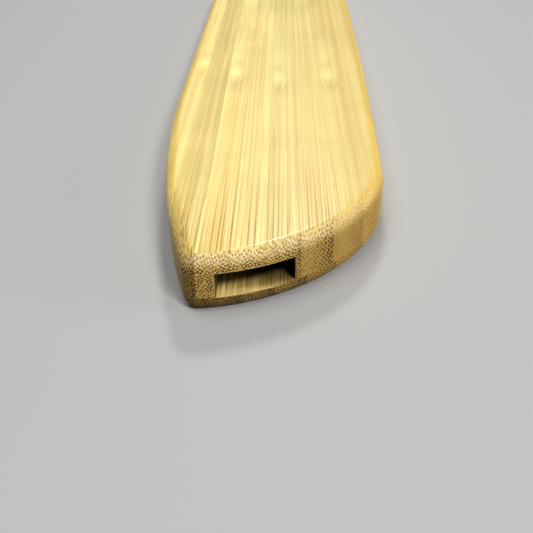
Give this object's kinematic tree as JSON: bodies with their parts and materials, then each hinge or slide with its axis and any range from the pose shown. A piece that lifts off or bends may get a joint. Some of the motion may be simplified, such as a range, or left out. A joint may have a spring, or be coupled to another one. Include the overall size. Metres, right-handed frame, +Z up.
{
  "type": "bone folder",
  "caption": "Flat bamboo creasing tool glued up from long strips in two layers, with rounded edges, a slanted nose with a square slot, and a thinned round far end.",
  "frame": {"origin": "centre of the bounding box at the underside, which rests on the table", "axes": "+Y along the tool from the slotted nose end to the thinned creasing end, +X across its width, +Z up through its thickness, from the thin lower layer to the thick upper layer"},
  "size_m": [0.0422, 0.1998, 0.009],
  "materials": {
    "upper_bamboo": "fine sanded, oiled to a satin sheen",
    "lower_bamboo": "fine sanded, oiled to a satin sheen"
  },
  "bodies": {
    "root": {"upper_strip_1": "upper_bamboo", "upper_strip_2": "upper_bamboo", "upper_strip_3": "upper_bamboo", "upper_strip_4": "upper_bamboo", "upper_strip_5": "upper_bamboo", "upper_strip_6": "upper_bamboo", "upper_strip_7": "upper_bamboo", "upper_strip_8": "upper_bamboo", "upper_strip_9": "upper_bamboo", "lower_strip_1": "lower_bamboo", "lower_strip_2": "lower_bamboo", "lower_strip_3": "lower_bamboo", "lower_strip_4": "lower_bamboo", "lower_strip_5": "lower_bamboo", "lower_strip_6": "lower_bamboo", "lower_strip_7": "lower_bamboo", "lower_strip_8": "lower_bamboo", "lower_strip_9": "lower_bamboo", "lower_strip_10": "lower_bamboo"}
  },
  "joints": []
}
